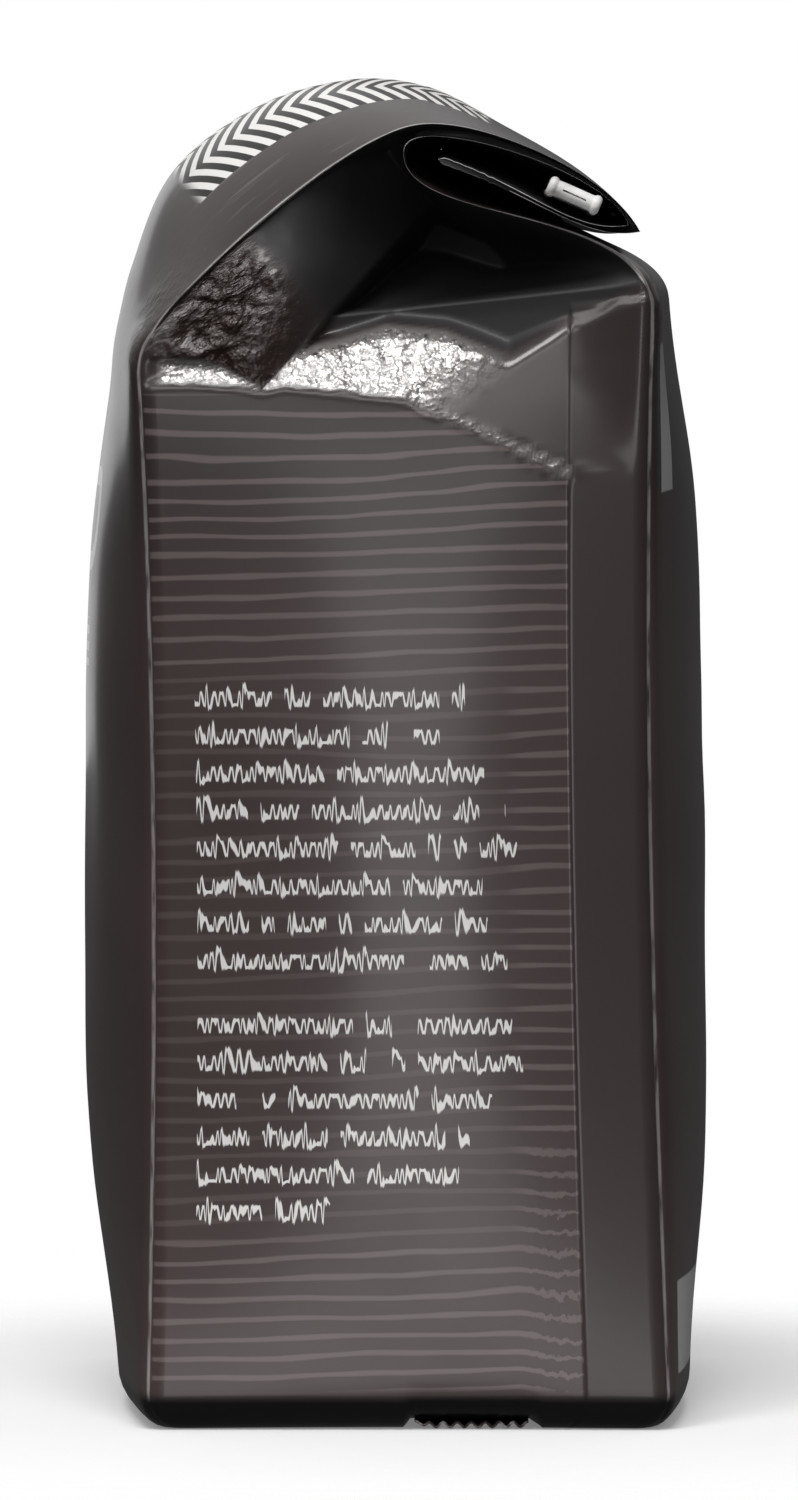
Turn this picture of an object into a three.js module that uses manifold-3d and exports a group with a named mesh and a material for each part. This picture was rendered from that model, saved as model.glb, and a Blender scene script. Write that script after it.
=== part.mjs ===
// A full coffee bag: a side-gusset pouch of printed foil laminate, standing on its flat foot. Above the coffee the two
// side gussets fold inwards, and the flattened top arches over the back, turns under at its tip and ends in a pressed
// seal. A tin tie lies in that last fold. Units are millimetres and +Z is up. The origin is in the middle of the foot,
// on the surface the bag stands on. The printed front faces -X, the back +X, and the gussets face -Y and +Y.

import * as THREE from "three";
import { mergeVertices } from "three/addons/utils/BufferGeometryUtils.js";
import Module from "manifold-3d";

const wasm = await Module();
wasm.setup();

// Driving sizes of the bag
const PANEL_WIDTH = 96;
const GUSSET_WIDTH = 78;
const FOOT_RADIUS = 5.5;
const SHOULDER_FRONT = new THREE.Vector2(-39.6, 161.5);
const SHOULDER_BACK = new THREE.Vector2(38.4, 169.3);
const CREST = new THREE.Vector2(3.9, 195.4);
const INNER_TURN = new THREE.Vector2(0.6, 190.6);
const TIP = new THREE.Vector2(35.8, 179.0);
const INNER_TIP = new THREE.Vector2(34.1, 180.0);
const SEAL_END = new THREE.Vector2(5.7, 189.2);
const SEAL_THICKNESS = 1.0;

// Side panel and its folds above the coffee
const GUSSET_SWELL = 2.4;
const CREASE_HEIGHT = 155.6;
const CREASE_BREAK_X = 1;
const CREASE_FALL = 0.51;
const SEAM_X = 26;
const BAND_LEAN_HEIGHT = 156;
const BAND_LEAN = 0.24;
const ROOF_SLOPE = 1.3;
const ROOF_SLOPE_AT_SEAM = 0.1;
const WALL_SLOPE = 0.28;
const DEEPEST_FOLD = 30;
const CLOSED_PLEAT = 4;
const FOLD_ROUNDING = 1.4;
const LOBE_SPREAD = 0.63;
const LOBE_RISE = 0.25;
const NEAR_SIDE = { lobeX: -20.9, lobeLean: -0.19, creaseDrop: 0 };
const FAR_SIDE = { lobeX: 12.5, lobeLean: 0.12, creaseDrop: 2.5 };

// Bottom seam, folded flat under the foot
const SEAM_ROOT_X = 2.5;
const SEAM_REACH = 17;
const SEAM_HALF_LENGTH = 43.5;
const SEAM_THICKNESS = 0.9;
const SEAM_RECESS = 1.3;
const CRIMP_PITCH = 3;
const CRIMP_DEPTH = 0.25;

// Tin tie: a plastic strip with a wire along each edge, its ends folded back
const TIE_WIDTH = 8.4;
const TIE_HALF_SPAN = 47.4;
const TIE_TAIL = 14;
const TIE_BEND = 0.8;
const TIE_WEB = 0.9;
const TIE_WIRE = 1.3;
const TIE_SLOT = 0.4;
const TIE_BOW = -0.4;
const TIE_CENTRE = new THREE.Vector3(26, 0, 184.35);
const TIE_SLANT = THREE.MathUtils.degToRad(23.6);

// Mesh steps
const GUSSET_STEPS = 16;
const PANEL_STEPS = 8;
const STRETCH_ROWS = [18, 14, 9, 8];

const point = (x, z) => new THREE.Vector2(x, z);
const bezier = (...points) => new THREE.CubicBezierCurve(...points);

// Corner lines of the front and back panels, seen from the side, in four stretches: up the wall, over the closing
// gusset, along the folded top to the tip, and back under it to the seal.
const FRONT_LINE = [
  bezier(point(-38.2, FOOT_RADIUS), point(-36.8, 60), point(-36.6, 110), SHOULDER_FRONT),
  bezier(SHOULDER_FRONT, point(-30, 173), point(-9, 193), CREST),
  bezier(CREST, point(12, 195.2), point(30.6, 188.7), TIP),
  bezier(TIP, point(27, 177.3), point(20, 185), SEAL_END),
];
const SEAL_TOP = SEAL_END.clone().add(point(0.2, SEAL_THICKNESS));
const BACK_LINE = [
  bezier(point(41, FOOT_RADIUS), point(38.5, 60), point(36.8, 115), SHOULDER_BACK),
  bezier(SHOULDER_BACK, point(33, 183.5), point(1, 180), INNER_TURN),
  bezier(INNER_TURN, point(-1, 197.5), point(30.6, 189.2), INNER_TIP),
  bezier(INNER_TIP, point(26, 178.4), point(19.5, 185.6), SEAL_TOP),
];

// How far the middle of each panel stands out from its corner lines, at even steps along each stretch, and which way
// it stands out there, in degrees from +X towards +Z.
const FRONT_SWELL = [
  [5, 9.8, 11, 10.5, 9, 4.4],
  [4.4, 9.6, 15.3, 14.6, 10.7, 6.6],
  [6.6, 2.6, 1, 0.3],
  [0.3, 1.1, 1.3, 1.4, 1.6, 2.8, 2.7, 2.3, 2.1],
];
const FRONT_AIM = [
  [180, 180, 180, 165],
  [165, 140, 118, 95],
  [95, 78, 68, 66],
  [66, 66, 66, 70],
];
const BACK_SWELL = [
  [3.6, 7.2, 8.4, 8.6, 7.6, 2.8],
  [2.8, 1.2, 2.6, 4, 4],
  [4, 1.8, 0.4, -0.6, -1, -1.2, -0.4, 0, 0.3],
  [0.3, 1.1, 1.3, 1.4, 1.6, 2.8, 2.7, 2.3, 2.1],
];
const BACK_AIM = [
  [0, 0, 0, 25],
  [25, 60, 72, 95],
  [95, 85, 72, 66],
  [66, 66, 66, 70],
];

// Value at t, from 0 to 1, on a smooth curve through evenly spaced values.
function along(values, t) {
  const last = values.length - 1;
  const place = Math.min(Math.max(t, 0), 1) * last;
  const i = Math.min(Math.floor(place), last - 1);
  const pick = (k) => values[Math.min(Math.max(k, 0), last)];
  const u = place - i;
  const [a, b, c, d] = [pick(i - 1), pick(i), pick(i + 1), pick(i + 2)];
  return b + 0.5 * u * (c - a + u * (2 * a - 5 * b + 4 * c - d + u * (3 * (b - c) + d - a)));
}

// Polynomial smooth minimum, rounded over the distance given.
function softMin(a, b, rounding) {
  const h = Math.max(rounding - Math.abs(a - b), 0) / rounding;
  return Math.min(a, b) - h * h * rounding * 0.25;
}

const softPositive = (a, rounding) => -softMin(-a, 0, rounding);

// Height of the crease where a gusset leaves the upright side panel.
function creaseHeight(x, side) {
  return CREASE_HEIGHT - side.creaseDrop - softPositive(x - CREASE_BREAK_X, 6) * CREASE_FALL;
}

// How far the surface above the crease leans in, as a plain roof with a lobe of film that stands in front of it.
function roofDepth(x, z, side) {
  const rise = softPositive(z - creaseHeight(Math.min(x, SEAM_X), side), FOLD_ROUNDING);
  const towardsSeam = THREE.MathUtils.clamp((x - CREASE_BREAK_X - 2) / (SEAM_X - CREASE_BREAK_X - 2), 0, 1);
  const slope = THREE.MathUtils.lerp(ROOF_SLOPE, ROOF_SLOPE_AT_SEAM, towardsSeam);
  const lobeX = side.lobeX + (z - CREASE_HEIGHT) * side.lobeLean;
  const lobe = LOBE_RISE * rise + LOBE_SPREAD * Math.abs(x - lobeX);
  const band = BAND_LEAN * softPositive(z - BAND_LEAN_HEIGHT, 4);
  return x > SEAM_X ? band : softMin(slope * rise, Math.max(lobe, 0), FOLD_ROUNDING);
}

// Depth of the gusset inside its corner lines. place is 0 at the front line and 1 at the back line.
function gussetDepth(x, z, stretch, t, place, chord, side) {
  const half = chord / 2;
  const slack = Math.sqrt(Math.max((GUSSET_WIDTH / 2) ** 2 - half * half, 0));
  const fade = stretch < 1 ? 0 : stretch > 1 ? 1 : THREE.MathUtils.smoothstep(t, 0.55, 1);
  const limit = THREE.MathUtils.lerp(DEEPEST_FOLD, stretch === 3 ? CLOSED_PLEAT * (1 - t) : CLOSED_PLEAT, fade);
  const steepness = Math.max(WALL_SLOPE, slack / half);
  const fromEdge = Math.min(place, 1 - place) * chord;
  const wall = Math.min(steepness * fromEdge, limit * Math.min(1, (2 * fromEdge) / half));
  return stretch > 1 ? wall : Math.max(softMin(wall, roofDepth(x, z, side), FOLD_ROUNDING), 0);
}

// Outward swell of the side panel, fullest half way up the wall.
function gussetSwell(stretch, t, place) {
  const height = stretch === 0 ? Math.sin(Math.PI * Math.min(t / 0.9, 1)) : 0;
  return GUSSET_SWELL * height * Math.sin(Math.PI * place);
}

const swellOffset = (swell, aim) =>
  new THREE.Vector3(Math.cos(THREE.MathUtils.degToRad(aim)), 0, Math.sin(THREE.MathUtils.degToRad(aim))).multiplyScalar(
    swell,
  );

// One corner line at a row: its place seen from the side, how far the panel swells there, and its distance from Y = 0.
// A panel that swells draws its two corner lines together.
function cornerAt(line, swells, aims, stretch, t) {
  const place = line[stretch].getPoint(t);
  const swell = along(swells[stretch], t);
  const half = PANEL_WIDTH / 2 - (4 / 3) * (swell * swell) / PANEL_WIDTH;
  return { place, half, offset: swellOffset(swell, along(aims[stretch], t)) };
}

function gussetPoint(front, back, stretch, t, place, sign) {
  const flat = front.place.clone().lerp(back.place, place);
  const half = THREE.MathUtils.lerp(front.half, back.half, place);
  const chord = Math.max(front.place.distanceTo(back.place), 0.2);
  const side = sign < 0 ? NEAR_SIDE : FAR_SIDE;
  const depth = gussetDepth(flat.x, flat.y, stretch, t, place, chord, side) - gussetSwell(stretch, t, place);
  return new THREE.Vector3(flat.x, sign * (half - depth), flat.y);
}

function panelPoint(corner, across) {
  const full = 1 - Math.abs(across) ** 2.3;
  return new THREE.Vector3(corner.place.x, across * corner.half, corner.place.y).addScaledVector(corner.offset, full);
}

// One closed row of points round the bag: near gusset, back panel, far gusset, front panel.
function ring(stretch, t) {
  const front = cornerAt(FRONT_LINE, FRONT_SWELL, FRONT_AIM, stretch, t);
  const back = cornerAt(BACK_LINE, BACK_SWELL, BACK_AIM, stretch, t);
  const points = [];
  for (let i = 0; i < GUSSET_STEPS; i++) points.push(gussetPoint(front, back, stretch, t, i / GUSSET_STEPS, -1));
  for (let i = 0; i < PANEL_STEPS; i++) points.push(panelPoint(back, (2 * i) / PANEL_STEPS - 1));
  for (let i = 0; i < GUSSET_STEPS; i++) points.push(gussetPoint(front, back, stretch, t, 1 - i / GUSSET_STEPS, 1));
  for (let i = 0; i < PANEL_STEPS; i++) points.push(panelPoint(front, 1 - (2 * i) / PANEL_STEPS));
  return points;
}

// The rounded foot: the lowest ring, drawn in and down round a quarter circle.
function footRings(lowest) {
  const centre = new THREE.Vector3();
  lowest.forEach((p) => centre.addScaledVector(p, 1 / lowest.length));
  return [90, 68, 45, 22].map((degrees) => {
    const angle = THREE.MathUtils.degToRad(degrees);
    const inset = FOOT_RADIUS * (1 - Math.cos(angle));
    return lowest.map((p) => {
      const reach = Math.hypot(p.x - centre.x, p.y);
      const keep = 1 - inset / reach;
      const z = FOOT_RADIUS * (1 - Math.sin(angle));
      return new THREE.Vector3(centre.x + (p.x - centre.x) * keep, p.y * keep, z);
    });
  });
}

// Rows are closer together towards the top of the wall, where the folds begin.
function wallPlace(i, rows) {
  const even = i / rows;
  return even + 0.62 * even * (1 - even);
}

function bagRings() {
  const rings = [];
  STRETCH_ROWS.forEach((rows, stretch) => {
    for (let i = stretch === 0 ? 0 : 1; i <= rows; i++)
      rings.push(ring(stretch, stretch === 0 ? wallPlace(i, rows) : i / rows));
  });
  return [...footRings(rings[0]), ...rings];
}

function bagSkin() {
  const rings = bagRings();
  const count = rings[0].length;
  const positions = rings.flat().flatMap((p) => [p.x, p.y, p.z]);
  const index = [];
  const quad = (a, b, c, d) => index.push(a, b, c, a, c, d);
  for (let r = 0; r + 1 < rings.length; r++)
    for (let c = 0; c < count; c++) {
      const next = (c + 1) % count;
      quad(r * count + c, r * count + next, (r + 1) * count + next, (r + 1) * count + c);
    }
  closeFoot(rings[0], positions, index);
  closeSeal((rings.length - 1) * count, count, index);
  const skin = new THREE.BufferGeometry();
  skin.setAttribute("position", new THREE.Float32BufferAttribute(positions, 3));
  return skin.setIndex(index);
}

// The flat of the foot: a smaller ring, then a fan to its middle.
function closeFoot(lowest, positions, index) {
  const count = lowest.length;
  const inner = positions.length / 3;
  lowest.forEach((p) => positions.push(p.x * 0.5, p.y * 0.5, 0));
  positions.push(0, 0, 0);
  for (let c = 0; c < count; c++) {
    const next = (c + 1) % count;
    index.push(next, c, inner + c, next, inner + c, inner + next);
    index.push(inner + next, inner + c, inner + count);
  }
}

// The pressed end of the seal: rungs between its front and back films, with a fan in each gusset edge.
function closeSeal(start, count, index) {
  const front = (i) => start + ((count - i) % count);
  const back = (i) => start + GUSSET_STEPS + i;
  for (let i = 0; i < PANEL_STEPS; i++) {
    index.push(front(i), back(i), back(i + 1));
    index.push(front(i), back(i + 1), front(i + 1));
  }
  const farBack = start + GUSSET_STEPS + PANEL_STEPS;
  for (let j = 1; j < GUSSET_STEPS; j++) {
    index.push(start, start + j, start + j + 1);
    index.push(farBack, farBack + j, farBack + j + 1);
  }
}

function solidOf(geometry) {
  const bare = geometry.index ? geometry.toNonIndexed() : geometry.clone();
  bare.deleteAttribute("normal");
  bare.deleteAttribute("uv");
  const merged = mergeVertices(bare, 1e-4);
  return new wasm.Manifold(
    new wasm.Mesh({
      numProp: 3,
      vertProperties: merged.attributes.position.array,
      triVerts: new Uint32Array(merged.index.array),
    }),
  );
}

function geometryOf(solid) {
  const mesh = solid.getMesh();
  const geometry = new THREE.BufferGeometry();
  geometry.setAttribute("position", new THREE.Float32BufferAttribute(mesh.vertProperties, 3));
  geometry.setIndex([...mesh.triVerts]);
  geometry.computeVertexNormals();
  return geometry;
}

const boxSolid = (low, high) => {
  const size = high.clone().sub(low);
  return solidOf(new THREE.BoxGeometry(size.x, size.y, size.z).translate(...low.clone().add(high).divideScalar(2)));
};

// The bottom seam, seen end on: a thin flap with crimped ridges on its underside, joined to the foot at its root.
function bottomSeam() {
  const outline = new THREE.Shape();
  outline.moveTo(SEAM_ROOT_X, 0);
  const crimps = Math.floor(SEAM_REACH / CRIMP_PITCH);
  for (let i = 0; i < crimps; i++) {
    const x = SEAM_ROOT_X + (i + 1) * (SEAM_REACH / crimps);
    outline.lineTo(x - 0.5 * (SEAM_REACH / crimps), i === crimps - 1 ? 0 : CRIMP_DEPTH);
    outline.lineTo(x, 0);
  }
  outline.lineTo(SEAM_ROOT_X + SEAM_REACH, SEAM_THICKNESS);
  outline.lineTo(SEAM_ROOT_X + 1.5, SEAM_THICKNESS);
  outline.lineTo(SEAM_ROOT_X + 1.5, SEAM_RECESS + 1);
  outline.lineTo(SEAM_ROOT_X, SEAM_RECESS + 1);
  const flap = new THREE.ExtrudeGeometry(outline, { depth: 2 * SEAM_HALF_LENGTH, bevelEnabled: false, steps: 1 });
  return solidOf(flap.rotateX(Math.PI / 2).translate(0, SEAM_HALF_LENGTH, 0));
}

function bag() {
  const recess = boxSolid(
    new THREE.Vector3(SEAM_ROOT_X - 1.5, -PANEL_WIDTH, -1),
    new THREE.Vector3(SEAM_ROOT_X + SEAM_REACH + 1.5, PANEL_WIDTH, SEAM_RECESS),
  );
  return geometryOf(solidOf(bagSkin()).subtract(recess).add(bottomSeam()));
}

// The tie seen edge on, as a closed outline: a long run with both ends folded back under it.
function tieOutline(thickness) {
  const run = (from, to, level, steps) =>
    Array.from({ length: steps + 1 }, (_, i) => {
      const y = THREE.MathUtils.lerp(from, to, i / steps);
      return new THREE.Vector2(y, level + TIE_BOW * (1 - (y / TIE_HALF_SPAN) ** 2));
    });
  const side = (radius) => [
    ...run(TIE_TAIL - TIE_HALF_SPAN, -TIE_HALF_SPAN, -radius, 4),
    ...arc(-TIE_HALF_SPAN, -1, radius),
    ...run(-TIE_HALF_SPAN, TIE_HALF_SPAN, radius, 14),
    ...arc(TIE_HALF_SPAN, 1, radius),
    ...run(TIE_HALF_SPAN, TIE_HALF_SPAN - TIE_TAIL, -radius, 4),
  ];
  const outer = side(TIE_BEND + thickness / 2);
  const inner = side(TIE_BEND - thickness / 2).reverse();
  return new THREE.Shape([...outer, ...inner]);
}

// Points round an end of the tie, from one run to the other.
function arc(y, sign, radius) {
  const points = [];
  for (let i = 1; i < 6; i++) {
    const angle = (Math.PI * i) / 6;
    points.push(new THREE.Vector2(y + sign * radius * Math.sin(angle), sign * radius * Math.cos(angle)));
  }
  return points;
}

function tieBand(thickness, from, to) {
  const band = new THREE.ExtrudeGeometry(tieOutline(thickness), { depth: to - from, bevelEnabled: false, steps: 1 });
  return solidOf(band.translate(0, 0, from - TIE_WIDTH / 2));
}

// Shape space is (Y, thickness, width); this turns it so that the width runs along X and the thickness along Z.
function tinTie() {
  const web = tieBand(TIE_WEB, TIE_WIRE * 0.7, TIE_WIDTH - TIE_WIRE * 0.7);
  const wires = [tieBand(TIE_WIRE, 0, TIE_WIRE), tieBand(TIE_WIRE, TIE_WIDTH - TIE_WIRE, TIE_WIDTH)];
  const slot = boxSolid(
    new THREE.Vector3(-PANEL_WIDTH, -TIE_SLOT / 2, 1.2 * TIE_WIRE - TIE_WIDTH / 2),
    new THREE.Vector3(PANEL_WIDTH, TIE_SLOT / 2, TIE_WIDTH / 2 - 1.2 * TIE_WIRE),
  );
  const joined = wires.reduce((solid, wire) => solid.add(wire), web).subtract(slot);
  const turn = new THREE.Matrix4().makeBasis(
    new THREE.Vector3(0, 1, 0),
    new THREE.Vector3(0, 0, 1),
    new THREE.Vector3(1, 0, 0),
  );
  return geometryOf(joined).applyMatrix4(turn);
}

function mesh(name, geometry, color, roughness, metalness) {
  const material = new THREE.MeshStandardMaterial({ color, roughness, metalness });
  const made = new THREE.Mesh(geometry, material);
  made.name = name;
  return made;
}

const coffeeBag = new THREE.Group();
const tie = mesh("tin_tie", tinTie(), 0xe4e2e3, 0.45, 0);
tie.position.copy(TIE_CENTRE);
tie.rotation.y = TIE_SLANT;
coffeeBag.add(mesh("bag", bag(), 0x4a4140, 0.4, 0.3), tie);

export default coffeeBag;
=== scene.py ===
"""A full side-gusset coffee bag of printed foil laminate, with a tin tie in its folded top, on a pale floor.

Lengths in the shape code are millimetres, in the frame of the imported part: +Z up, the printed front panel
faces -X, the back panel +X, and the side gussets -Y and +Y. Meshes are made in metres.
"""

import math

import bpy
import numpy as np
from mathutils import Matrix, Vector


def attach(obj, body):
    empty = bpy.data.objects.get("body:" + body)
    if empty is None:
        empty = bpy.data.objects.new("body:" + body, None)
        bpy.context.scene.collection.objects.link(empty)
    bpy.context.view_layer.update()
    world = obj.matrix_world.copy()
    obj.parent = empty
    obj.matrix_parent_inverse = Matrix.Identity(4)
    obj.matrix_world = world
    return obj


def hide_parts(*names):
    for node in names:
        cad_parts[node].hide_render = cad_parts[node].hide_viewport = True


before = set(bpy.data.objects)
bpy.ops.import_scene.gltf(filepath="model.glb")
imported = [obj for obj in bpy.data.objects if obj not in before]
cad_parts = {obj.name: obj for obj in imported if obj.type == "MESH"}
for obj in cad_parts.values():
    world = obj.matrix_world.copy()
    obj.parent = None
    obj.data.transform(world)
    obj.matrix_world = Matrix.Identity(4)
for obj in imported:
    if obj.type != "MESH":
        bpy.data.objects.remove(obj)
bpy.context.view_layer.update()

bl_info = {
    "name": "Coffee bag",
    "version": (1, 0, 0),
    "blender": (4, 5, 0),
    "location": "3D View > Sidebar > Coffee bag",
    "description": "Models a full side-gusset coffee bag with its folded top and tin tie",
    "category": "Add Mesh",
}

MM = 0.001
SEED = 7

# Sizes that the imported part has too
PANEL_WIDTH = 96.0
GUSSET_WIDTH = 78.0
FOOT_RADIUS = 5.5
SHOULDER_FRONT = (-39.6, 161.5)
SHOULDER_BACK = (38.4, 169.3)
CREST = (3.9, 195.4)
INNER_TURN = (0.6, 190.6)
TIP = (35.8, 179.0)
INNER_TIP = (34.1, 180.0)
SEAL_END = (5.7, 189.2)
SEAL_TOP = (5.9, 190.2)
GUSSET_SWELL = 2.4
SEAM_X = 26.0
DEEPEST_FOLD = 30.0
CLOSED_PLEAT = 4.0
INNER_SLOPE = 0.3
WALL_SLOPE = 0.28
SEAM_ROOT_X = 2.5
SEAM_REACH = 17.0
SEAM_HALF_LENGTH = 45.0
FOOT_RECESS = 1.4
TIE_WIDTH = 8.4
TIE_HALF_SPAN = 47.4
TIE_TAIL = 14.0
TIE_BEND = 0.8
TIE_BOW = -0.4
TIE_CENTRE = (26.0, 0.0, 184.35)
TIE_SLANT = math.radians(23.6)
TIE_GAP = 1.7

# Where each side of the film starts, in millimetres round the bag from the near gusset's front edge
FAR_GUSSET = GUSSET_WIDTH + PANEL_WIDTH
FRONT_PANEL = FAR_GUSSET + GUSSET_WIDTH

# The lap seam up each gusset, from its front edge, and the step that it makes
LAP_SEAM = 65.1
LAP_STEP = 0.16

# Rows of the film: spacing up the wall below each height, then how many there are over the closing gusset,
# along the folded top and back under it. Columns of the film between the folded edges of each side.
WALL_BANDS = [(128, 3.5), (146, 1.2), (0.5 * (SHOULDER_FRONT[1] + SHOULDER_BACK[1]), 0.55)]
TOP_ROWS = (92, 44, 50)
FOOT_TURN_ROWS = 8
FOOT_FLAT_ROWS = 14
NEAR_COLUMNS = 120
FAR_COLUMNS = 66
PANEL_COLUMNS = 32

# Corner lines of the front and back panels, seen from the side: up the wall, over the closing gusset, along
# the folded top to its tip, and back under it to the seal.
FRONT_LINE = [
    ((-38.2, FOOT_RADIUS), (-36.8, 60.0), (-36.6, 110.0), SHOULDER_FRONT),
    (SHOULDER_FRONT, (-30.0, 173.0), (-9.0, 193.0), CREST),
    (CREST, (12.0, 195.2), (30.6, 188.7), TIP),
    (TIP, (27.0, 177.3), (20.0, 185.0), SEAL_END),
]
BACK_LINE = [
    ((41.0, FOOT_RADIUS), (38.5, 60.0), (36.8, 115.0), SHOULDER_BACK),
    (SHOULDER_BACK, (33.0, 183.5), (1.0, 180.0), INNER_TURN),
    (INNER_TURN, (-1.0, 197.5), (30.6, 189.2), INNER_TIP),
    (INNER_TIP, (26.0, 178.4), (19.5, 185.6), SEAL_TOP),
]

# How far the middle of each panel stands out from its corner lines along each stretch, and which way, in
# degrees from +X towards +Z.
UNDER_FOLD = [0.3, 1.1, 1.3, 1.4, 1.6, 2.8, 2.7, 2.3, 2.1]
FRONT_SWELL = [
    [5.0, 9.8, 11.0, 10.5, 9.0, 4.4],
    [4.4, 9.6, 15.3, 14.6, 10.7, 6.6],
    [6.6, 2.6, 1.0, 0.3],
    UNDER_FOLD,
]
FRONT_AIM = [
    [180, 180, 180, 165],
    [165, 140, 118, 95],
    [95, 78, 68, 66],
    [66, 66, 66, 70],
]
BACK_SWELL = [
    [3.6, 7.2, 8.4, 8.6, 7.6, 2.8],
    [2.8, 1.2, 2.6, 4.0, 4.0],
    [4.0, 1.8, 0.4, -0.6, -1.0, -1.2, -0.4, 0.0, 0.3],
    UNDER_FOLD,
]
BACK_AIM = [
    [0, 0, 0, 25],
    [25, 60, 72, 95],
    [95, 85, 72, 66],
    [66, 66, 66, 70],
]

# The folds of each gusset under the top, by X along the gusset: where the wall creases inwards, where the
# roof above that crease turns steep, and the lower edge of the lobe that hangs in front of it.
DIAGONAL_START = (2.5, 153.9)
NEAR_CREASE = [
    (-41, 156.0), (-30, 156.3), (-23, 155.8), (-20.4, 155.1), (-17.3, 156.0), (-5.8, 154.8),
    DIAGONAL_START, (SEAM_X, 143.0),
]
NEAR_STEEP = [
    (-41, 160.5), (-25, 161.0), (-14.8, 161.2), (-9, 162.3), (-1.9, 164.5), (7, 163.6), (13.3, 161.0),
    (16.3, 160.0), (26, 166.0), (38.7, 171.2),
]
NEAR_LOBE = [
    (-41, 160.5), (-35.1, 159.9), (-28.8, 159.7), (-25.8, 158.5), (-23, 157.1), (-20.4, 155.2),
    (-18.0, 157.6), (-15.9, 160.2), (-12, 164.5), (-6, 171.0), (4, 182.0), (40, 220.0),
]
FAR_CREASE = [(-41, 153.6), (-12, 154.4), (9, 152.2), (13, 151.2), (17, 152.6), (41, 155.5)]
FAR_STEEP = [(-41, 161.0), (-20, 164.0), (0, 163.5), (14, 160.5), (26, 165.0), (38.7, 170.6)]
FAR_LOBE = [(-41, 196.0), (0, 168.0), (6, 161.5), (12.6, 151.4), (19, 156.2), (27, 161.0), (38, 167.5)]
NEAR_FOLDS = (NEAR_CREASE, NEAR_STEEP, NEAR_LOBE)
FAR_FOLDS = (FAR_CREASE, FAR_STEEP, FAR_LOBE)

# Slopes of the folded film, as depth for each millimetre up: the roof above the crease, the steep part above
# that, and the rolled edge under the lobe. Then the lobe's own depth.
ROOF_SLOPE = 0.6
STEEP_SLOPE = 1.9
LOBE_EDGE_SLOPE = 3.0
LOBE_DEPTH = 0.4

# Columns of the film close to each folded edge, which is rounded on this radius up the wall
EDGE_STEPS = [0.0, 0.3, 0.7, 1.2, 1.8, 2.6]
FOLD_RADIUS = 2.6

# Pressed seal at the end of the film: how far it reaches from the end, and its crimps
SEAL_BAND = 9.0
CRIMP_PITCH = 1.7
CRIMP_HEIGHT = 0.16

# Bottom seam: its thickness, its middle level, and its waves
SEAM_THICKNESS = 0.34
SEAM_LEVEL = 0.66
SEAM_WAVE = 0.38
SEAM_WAVE_PITCH = 2.1

# Tin tie: thickness over its wires and between them
WIRE = 1.45
WEB = 0.85

# Photo: its height in pixels, its pixels to the millimetre where the camera aims, and the camera's sensor
PHOTO_HEIGHT = 1500
PIXELS_PER_MM = 6.72
SENSOR = 36

# Lights: name, place, target, width and height, all in metres, and radiance
LIGHTS = [
    ("key_softbox", (-0.1, -0.6, 1.1), (0, 0, 0.15), 0.75, 0.5, 8.0),
    ("fill_softbox", (-0.8, -1.2, 0.95), (0, 0, 0.15), 0.6, 0.6, 2.5),
    ("high_card", (0, -1.7, 0.75), (0, 0, 0.15), 0.9, 0.4, 2.4),
    ("low_card", (0, -1.75, -0.1), (0, 0, 0.1), 0.27, 0.6, 1.9),
    ("rim_card", (-0.36, 1.4, 0.45), (0, 0, 0.15), 0.5, 0.9, 0.6),
]


# Numbers and curves


def bezier(points, t):
    """Points on a cubic curve at each t, as rows of x and z."""
    a, b, c, d = (np.array(p, float) for p in points)
    t = np.asarray(t, float)[..., None]
    s = 1 - t
    return s**3 * a + 3 * s * s * t * b + 3 * s * t * t * c + t**3 * d


def along(values, t):
    """Value at each t, from 0 to 1, on a smooth curve through evenly spaced values."""
    values = np.array(values, float)
    last = len(values) - 1
    place = np.clip(t, 0, 1) * last
    i = np.minimum(np.floor(place).astype(int), last - 1)
    u = place - i
    a, b, c, d = (values[np.clip(i + k, 0, last)] for k in (-1, 0, 1, 2))
    return b + 0.5 * u * (c - a + u * (2 * a - 5 * b + 4 * c - d + u * (3 * (b - c) + d - a)))


def soft_min(a, b, rounding):
    h = np.maximum(rounding - np.abs(a - b), 0) / rounding
    return np.minimum(a, b) - h * h * rounding * 0.25


def soft_positive(a, rounding):
    """The positive part of a, with its corner at 0 rounded."""
    return -soft_min(-a, 0.0, rounding)


def smooth_step(low, high, x):
    s = np.clip((x - low) / (high - low), 0, 1)
    return s * s * (3 - 2 * s)


def bell(x, width):
    return np.exp(-((x / width) ** 2))


def polyline(x, points):
    xs, zs = zip(*points)
    return np.interp(x, xs, zs)


def path_length(points):
    return np.concatenate([[0], np.cumsum(np.linalg.norm(np.diff(points, axis=0), axis=1))])


def lattice_noise(x, y, cell, seed):
    """Smooth noise from -1 to 1 with lumps about one cell across."""
    table = np.random.default_rng(seed).uniform(-1, 1, (64, 64))
    gx, gy = x / cell + 31.7, y / cell + 17.3
    ix, iy = np.floor(gx).astype(int), np.floor(gy).astype(int)
    fx, fy = gx - ix, gy - iy
    fx, fy = fx * fx * (3 - 2 * fx), fy * fy * (3 - 2 * fy)
    low = table[ix % 64, iy % 64] * (1 - fx) + table[(ix + 1) % 64, iy % 64] * fx
    high = table[ix % 64, (iy + 1) % 64] * (1 - fx) + table[(ix + 1) % 64, (iy + 1) % 64] * fx
    return low * (1 - fy) + high * fy


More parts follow.
